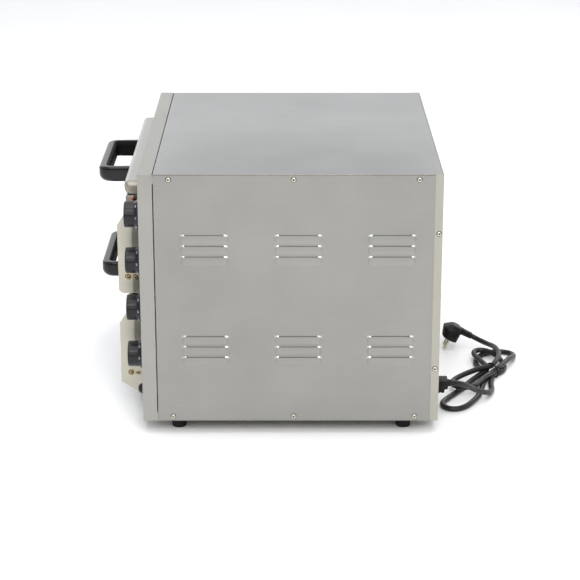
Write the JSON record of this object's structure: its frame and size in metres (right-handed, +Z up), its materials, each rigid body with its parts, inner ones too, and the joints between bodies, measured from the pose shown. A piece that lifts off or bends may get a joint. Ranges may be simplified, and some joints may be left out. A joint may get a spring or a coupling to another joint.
{
  "type": "double-deck pizza oven",
  "caption": "Free-standing electric oven with stacked baking chambers, drop-down doors with bow handles, thermostat knobs on the right, louvred sides and a tied mains cord.",
  "frame": {"origin": "on the surface under the feet, at the middle of the oven's box without its cord", "axes": "+X to the control side (right as seen from the front), +Y to the back, +Z up; the doors open towards -Y"},
  "size_m": [0.5644, 0.7033, 0.419],
  "materials": {
    "casing_steel": "brushed stainless, satin",
    "door_steel": "brushed stainless, satin",
    "bracket_steel": "smooth stainless, warm",
    "zinc_steel": "zinc-coated, dull",
    "element_sheath": "heat-darkened",
    "baking_stone": "rough, unglazed",
    "mineral_wool": "fibrous",
    "fastener": "nickel-plated",
    "lamp_lens": "clear amber-red lens",
    "ceramic": "pale, hard",
    "handle_bakelite": "moulded, glossy black",
    "knob_plastic": "moulded, satin black",
    "foot_rubber": "moulded, dull black",
    "gland_and_plug": "moulded, dull black",
    "cord_rubber": "smooth dull black-grey sheath"
  },
  "bodies": {
    "oven": {"base_pan": "casing_steel", "top_cover": "casing_steel", "side_panel_right": "casing_steel", "side_panel_left": "casing_steel", "rear_cover": "casing_steel", "front_fascia": "casing_steel", "foot_front_left": "foot_rubber", "foot_front_right": "foot_rubber", "foot_rear_left": "foot_rubber", "foot_rear_right": "foot_rubber", "chamber_lower": "zinc_steel", "stone_lower": "baking_stone", "element_lower_bottom": "element_sheath", "element_lower_top": "element_sheath", "chamber_upper": "zinc_steel", "stone_upper": "baking_stone", "element_upper_bottom": "element_sheath", "element_upper_top": "element_sheath", "insulation_middle": "mineral_wool", "insulation_top": "mineral_wool", "heat_shield": "zinc_steel", "hinge_bracket_lower_left": "bracket_steel", "hinge_pin_lower_left": "fastener", "hinge_bracket_lower_right": "bracket_steel", "hinge_pin_lower_right": "fastener", "hinge_bracket_upper_left": "bracket_steel", "hinge_pin_upper_left": "fastener", "hinge_bracket_upper_right": "bracket_steel", "hinge_pin_upper_right": "fastener", "thermostat_1": "zinc_steel", "thermostat_2": "zinc_steel", "thermostat_3": "zinc_steel", "thermostat_4": "zinc_steel", "pilot_lamp_lower": "lamp_lens", "pilot_lamp_upper": "lamp_lens", "safety_cut_out": "ceramic", "terminal_block": "ceramic", "cable_gland": "gland_and_plug", "mains_cord": "cord_rubber", "cord_lead": "cord_rubber", "cord_hank": "cord_rubber", "cord_tie": "gland_and_plug", "plug": "gland_and_plug"},
    "door_upper": {"door_upper_shell": "door_steel", "door_upper_liner": "zinc_steel", "door_upper_insulation": "mineral_wool", "door_upper_handle": "handle_bakelite", "door_upper_handle_screw_1": "fastener", "door_upper_handle_screw_2": "fastener"},
    "door_lower": {"door_lower_shell": "door_steel", "door_lower_liner": "zinc_steel", "door_lower_insulation": "mineral_wool", "door_lower_handle": "handle_bakelite", "door_lower_handle_screw_1": "fastener", "door_lower_handle_screw_2": "fastener"},
    "knob_1": {"knob_1": "knob_plastic"},
    "knob_2": {"knob_2": "knob_plastic"},
    "knob_3": {"knob_3": "knob_plastic"},
    "knob_4": {"knob_4": "knob_plastic"},
    "reset_button": {"reset_button": "knob_plastic"}
  },
  "joints": [
    {"name": "door_upper_hinge", "type": "hinge", "parent": "oven", "child": "door_upper", "pos_m": [-0.0445, -0.2095, 0.226], "axis": [1, 0, 0], "range_deg": [0, 88]},
    {"name": "door_lower_hinge", "type": "hinge", "parent": "oven", "child": "door_lower", "pos_m": [-0.0445, -0.2095, 0.0635], "axis": [1, 0, 0], "range_deg": [0, 88]},
    {"name": "knob_1_turn", "type": "hinge", "parent": "oven", "child": "knob_1", "pos_m": [0.229, -0.204, 0.115], "axis": [0, 1, 0], "range_deg": [0, 300]},
    {"name": "knob_2_turn", "type": "hinge", "parent": "oven", "child": "knob_2", "pos_m": [0.229, -0.204, 0.192], "axis": [0, 1, 0], "range_deg": [0, 300]},
    {"name": "knob_3_turn", "type": "hinge", "parent": "oven", "child": "knob_3", "pos_m": [0.229, -0.204, 0.269], "axis": [0, 1, 0], "range_deg": [0, 300]},
    {"name": "knob_4_turn", "type": "hinge", "parent": "oven", "child": "knob_4", "pos_m": [0.229, -0.204, 0.343], "axis": [0, 1, 0], "range_deg": [0, 300]},
    {"name": "reset_button_press", "type": "slide", "parent": "oven", "child": "reset_button", "axis": [0, 1, 0], "range_m": [0, 0.0025], "stiffness_N_per_m": 400}
  ]
}
